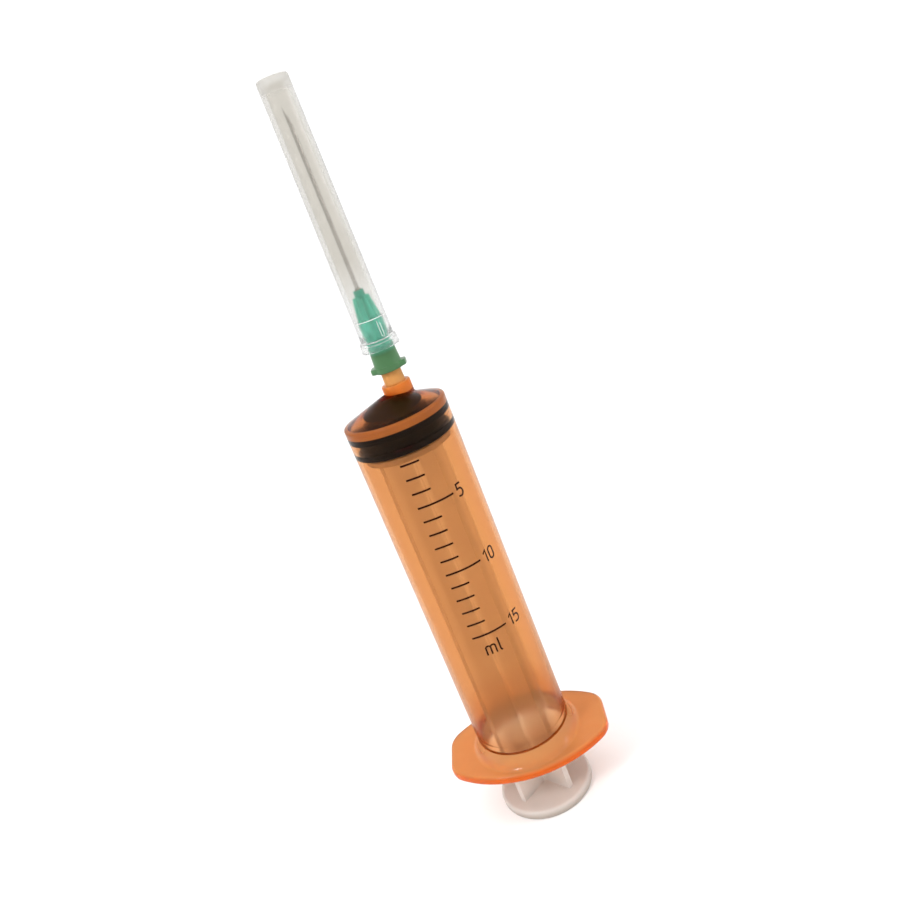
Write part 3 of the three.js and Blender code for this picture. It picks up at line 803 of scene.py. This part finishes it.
def plastic(name, light, dark, rough, cells=300.0, bump=0.02, clear=0.0, absorb=None, density=0.0, ior=1.49, metal=0.0,
            coat=0.0, coat_rough=0.1, head_on=1.0, foot=None, frost=None):
    """Principled plastic with drifting colour and gloss and a faint moulded grain.

    light and dark are the two colours that it drifts between, and rough is the range of its roughness.
    foot is a colour that is full at one height and has faded out at another, and frost a roughness that
    does the same. head_on scales the mirror seen face on, and absorb and density colour the plastic's depth.
    """
    mat = bpy.data.materials.new(name)
    mat.use_nodes = True
    nodes, links = mat.node_tree.nodes, mat.node_tree.links
    shader = nodes["Principled BSDF"]
    shader.inputs["Transmission Weight"].default_value = clear
    shader.inputs["IOR"].default_value = ior
    shader.inputs["Metallic"].default_value = metal
    shader.inputs["Coat Weight"].default_value = coat
    shader.inputs["Coat Roughness"].default_value = coat_rough
    shader.inputs["Specular Tint"].default_value = (head_on, head_on, head_on, 1)
    place = nodes.new("ShaderNodeTexCoord")

    colour = nodes.new("ShaderNodeMix")
    colour.data_type = "RGBA"
    colour.inputs[6].default_value = (*light, 1)
    colour.inputs[7].default_value = (*dark, 1)
    links.new(noise(nodes, links, place, cells, 3.0), colour.inputs[0])
    tone = colour.outputs[2]
    if foot:
        low_colour, full_z, gone_z = foot
        graded = nodes.new("ShaderNodeMix")
        graded.data_type = "RGBA"
        graded.inputs[6].default_value = (*low_colour, 1)
        links.new(height_share(nodes, links, place, full_z, gone_z), graded.inputs[0])
        links.new(tone, graded.inputs[7])
        tone = graded.outputs[2]
    links.new(tone, shader.inputs["Base Color"])

    gloss = nodes.new("ShaderNodeMapRange")
    gloss.inputs["To Min"].default_value, gloss.inputs["To Max"].default_value = rough
    links.new(noise(nodes, links, place, cells * 0.6, 4.0), gloss.inputs["Value"])
    dull = gloss.outputs["Result"]
    if frost:
        full, full_z, gone_z = frost
        frosted = nodes.new("ShaderNodeMix")
        frosted.inputs[2].default_value = full
        links.new(height_share(nodes, links, place, full_z, gone_z), frosted.inputs[0])
        links.new(dull, frosted.inputs[3])
        dull = frosted.outputs[0]
    links.new(dull, shader.inputs["Roughness"])

    relief = nodes.new("ShaderNodeBump")
    relief.inputs["Strength"].default_value = bump
    relief.inputs["Distance"].default_value = 0.0001
    links.new(noise(nodes, links, place, GRAIN_SCALE, 2.0), relief.inputs["Height"])
    links.new(relief.outputs["Normal"], shader.inputs["Normal"])
    if absorb:
        volume = nodes.new("ShaderNodeVolumeAbsorption")
        volume.inputs["Color"].default_value = (*absorb, 1)
        volume.inputs["Density"].default_value = density
        links.new(volume.outputs["Volume"], nodes["Material Output"].inputs["Volume"])
    return mat


# The tube is painted darker and deeper orange towards its foot, fading out 10 mm above the flare: painted shade,
# standing for the shade that the flange and the thumb rest cast inside the tube's foot.
barrel_look = plastic("barrel_orange", (0.83, 0.62, 0.41), (0.79, 0.58, 0.38), (0.1, 0.18), clear=1.0, ior=1.15,
                      absorb=(0.9, 0.55, 0.2), density=330.0,
                      foot=((0.70, 0.39, 0.195), FLARE_Z + 2.5, FLARE_Z + 10.0), frost=(0.26, FLARE_Z + 3.0, 60.0))
flange_look = plastic("flange_orange", (0.72, 0.37, 0.145), (0.67, 0.33, 0.12), (0.2, 0.3), clear=0.6, ior=1.35,
                      absorb=(1.0, 0.5, 0.2), density=100.0, coat=0.15, coat_rough=0.06, head_on=0.15,
                      foot=((0.86, 0.19, 0.015), FLANGE_Z + 1.5, FLANGE_Z + 2.19))
corner_look = plastic("barrel_thick_corner", (0.62, 0.25, 0.08), (0.55, 0.21, 0.06), (0.3, 0.4), clear=0.35, head_on=0.3)
tip_look = plastic("barrel_thick_tip", (1.0, 0.66, 0.31), (0.96, 0.61, 0.27), (0.3, 0.4), clear=0.2, head_on=0.3,
                   foot=((1.0, 0.36, 0.08), COLLAR_TOP_Z - 0.3, COLLAR_TOP_Z + 0.3))
mouth_look = plastic("barrel_mouth", (0.99, 0.86, 0.66), (0.97, 0.82, 0.62), (0.4, 0.5), clear=0.1, head_on=0.3)
ink_look = plastic("scale_black_ink", (0.010, 0.001, 0.0005), (0.018, 0.003, 0.001), (0.4, 0.6), head_on=0.1)
# The rubber is painted lighter on the nose than on the rings and the sides: painted haze, standing for the light that
# the barrel's front wall scatters over the nose.
rubber_look = plastic("stopper_black_rubber", (0.034, 0.034, 0.030), (0.026, 0.026, 0.023), (0.5, 0.65), bump=0.1,
                      head_on=0.1, foot=((0.008, 0.0055, 0.004), STOPPER_FRONT_Z - 0.4, STOPPER_FRONT_Z + 0.4))
rod_look = plastic("plunger_natural", (0.92, 0.885, 0.86), (0.89, 0.855, 0.83), (0.3, 0.42), clear=0.84, ior=1.12,
                   coat=0.1)
# The thumb rest is painted a darker, warmer beige towards its foot: painted shade, warmed by the orange light that
# reaches it through the flange.
thumb_look = plastic("plunger_natural_thick_shaded_foot", (0.93, 0.86, 0.80), (0.88, 0.80, 0.74), (0.35, 0.5), clear=0.5, ior=1.3,
                     coat=0.15, foot=((0.56, 0.49, 0.43), 0.6, THUMB_T - 0.2))
hub_look = plastic("hub_green", (0.13, 0.80, 0.57), (0.10, 0.75, 0.52), (0.25, 0.35), clear=0.5, head_on=0.4,
                   foot=((0.11, 0.28, 0.115), SHEATH_Z - 1.0, SHEATH_Z + 1.2))
steel_look = plastic("needle_steel", (0.62, 0.60, 0.585), (0.5, 0.485, 0.47), (0.16, 0.26), metal=1.0, bump=0.05)
glue_look = plastic("hub_adhesive", (0.8, 0.78, 0.68), (0.72, 0.7, 0.6), (0.15, 0.25), clear=0.6)
sheath_look = plastic("sheath_clear", (0.80, 0.78, 0.74), (0.755, 0.735, 0.69), (0.16, 0.26), bump=0.002, clear=1.0,
                      ior=1.45, coat=0.15, coat_rough=0.06, foot=((0.92, 0.92, 0.91), HUB_TOP_Z - 8.0, HUB_TOP_Z + 6.0),
                      frost=(0.6, SHEATH_TOP_Z - 1.2, SHEATH_TOP_Z - 3.0))
# The ridges are drawn in a near-white, mostly opaque plastic: painted highlights along the sheath's raised lines.
ridge_highlight_look = plastic("sheath_ridge", (0.97, 0.97, 0.95), (0.92, 0.92, 0.9), (0.2, 0.3), clear=0.2, coat=0.5)

make_barrel(barrel_look)
make_flange(flange_look)
make_mouth_wall(mouth_look)
make_thick_corner(corner_look)
make_thick_tip(tip_look)
make_scale(ink_look)
make_stopper(rubber_look)
make_rod(rod_look, thumb_look)
make_hub(hub_look)
make_needle(steel_look)
make_adhesive(glue_look)
make_sheath(sheath_look)
make_ridges(ridge_highlight_look)


# ---- Floor, light and camera, in metres ----
FLOOR_HALF, FLOOR_CELLS, FLOOR_Z = 3.0, 12, -0.00005
WALL_LIGHT, CEILING_LIGHT = 1.1, 0.4
CEILING_STARTS, CEILING_FULL = math.radians(21), math.radians(40)
MIDDLE = (0, 0, 0.08)  # what the lamps point at
CAMERA_AZIMUTH, CAMERA_ELEVATION, CAMERA_ROLL = math.radians(6.61), math.radians(17.88), math.radians(-21.63)
CAMERA_AIM, CAMERA_DISTANCE = Vector((0.007665, 0.000889, 0.087603)), 0.1740
SENSOR_MM, LENS_MM = 36.0, 33.37


def make_floor():
    """A plain pale floor under the thumb rest."""
    mesh = bpy.data.meshes.new("floor")
    along = [FLOOR_HALF * (2 * i / FLOOR_CELLS - 1) for i in range(FLOOR_CELLS + 1)]
    row = FLOOR_CELLS + 1
    starts = [j * row + i for j in range(FLOOR_CELLS) for i in range(FLOOR_CELLS)]
    verts = [(x, y, FLOOR_Z) for y in along for x in along]
    mesh.from_pydata(verts, [], [(a, a + 1, a + row + 1, a + row) for a in starts])
    mat = plastic("studio_floor", (0.93, 0.93, 0.93), (0.91, 0.91, 0.91), (0.7, 0.9), cells=4.0, bump=0.0, head_on=0.0)
    mesh.materials.append(mat)
    floor = bpy.data.objects.new("floor", mesh)
    bpy.context.scene.collection.objects.link(floor)
    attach(floor, "plunger")  # the syringe stands on its thumb rest, however far that is drawn out


def make_light(name, place, aim, size, power):
    """A rectangular soft lamp."""
    lamp = bpy.data.lights.new(name, "AREA")
    lamp.shape, lamp.size, lamp.size_y = "RECTANGLE", *size
    lamp.energy = power
    holder = bpy.data.objects.new(name, lamp)
    holder.location = place
    holder.rotation_euler = (Vector(aim) - Vector(place)).to_track_quat("-Z", "Y").to_euler()
    bpy.context.scene.collection.objects.link(holder)


def make_overhead(strength, spread):
    """Wide soft light from straight above that mirrors nowhere."""
    lamp = bpy.data.lights.new("overhead", "SUN")
    lamp.energy, lamp.angle = strength, math.radians(spread)
    holder = bpy.data.objects.new("overhead", lamp)
    holder.visible_glossy = False
    bpy.context.scene.collection.objects.link(holder)


def make_camera():
    """At the photograph's angle: azimuth 0 looks along +Y, and the roll leans the needle to the left."""
    level_share = math.cos(CAMERA_ELEVATION)
    sideways, forwards = math.sin(CAMERA_AZIMUTH) * level_share, math.cos(CAMERA_AZIMUTH) * level_share
    back = Vector((sideways, -forwards, math.sin(CAMERA_ELEVATION)))
    level = Vector((0, 0, 1)).cross(back).normalized()
    right = level * math.cos(CAMERA_ROLL) + back.cross(level) * math.sin(CAMERA_ROLL)
    turn = Matrix((right, back.cross(right), back)).transposed()
    camera = bpy.data.cameras.new("camera")
    camera.sensor_width, camera.lens = SENSOR_MM, LENS_MM
    camera.clip_start, camera.clip_end = 0.005, 50.0
    holder = bpy.data.objects.new("camera", camera)
    holder.matrix_world = Matrix.Translation(CAMERA_AIM + back * CAMERA_DISTANCE) @ turn.to_4x4()
    bpy.context.scene.collection.objects.link(holder)
    bpy.context.scene.camera = holder


def make_world():
    """A white room with a dim ceiling, so that level surfaces don't mirror white."""
    world = bpy.data.worlds.new("studio")
    world.use_nodes = True
    nodes, links = world.node_tree.nodes, world.node_tree.links
    place = nodes.new("ShaderNodeTexCoord")
    split = nodes.new("ShaderNodeSeparateXYZ")
    links.new(place.outputs["Generated"], split.inputs["Vector"])
    level = nodes.new("ShaderNodeMapRange")
    level.inputs["From Min"].default_value = math.sin(CEILING_STARTS)
    level.inputs["From Max"].default_value = math.sin(CEILING_FULL)
    level.inputs["To Min"].default_value, level.inputs["To Max"].default_value = WALL_LIGHT, CEILING_LIGHT
    links.new(split.outputs["Z"], level.inputs["Value"])
    links.new(level.outputs["Result"], nodes["Background"].inputs["Strength"])
    nodes["Background"].inputs["Color"].default_value = (1, 1, 1, 1)
    return world


make_floor()
make_light("key", (-0.5, -0.55, 0.75), MIDDLE, (0.25, 0.25), 5.0)
make_overhead(1.8, 100)
make_light("side", (0.7, -0.1, 0.4), MIDDLE, (0.1, 0.6), 1.5)
make_camera()
bpy.context.scene.world = make_world()
bpy.context.scene.view_settings.view_transform = "Standard"
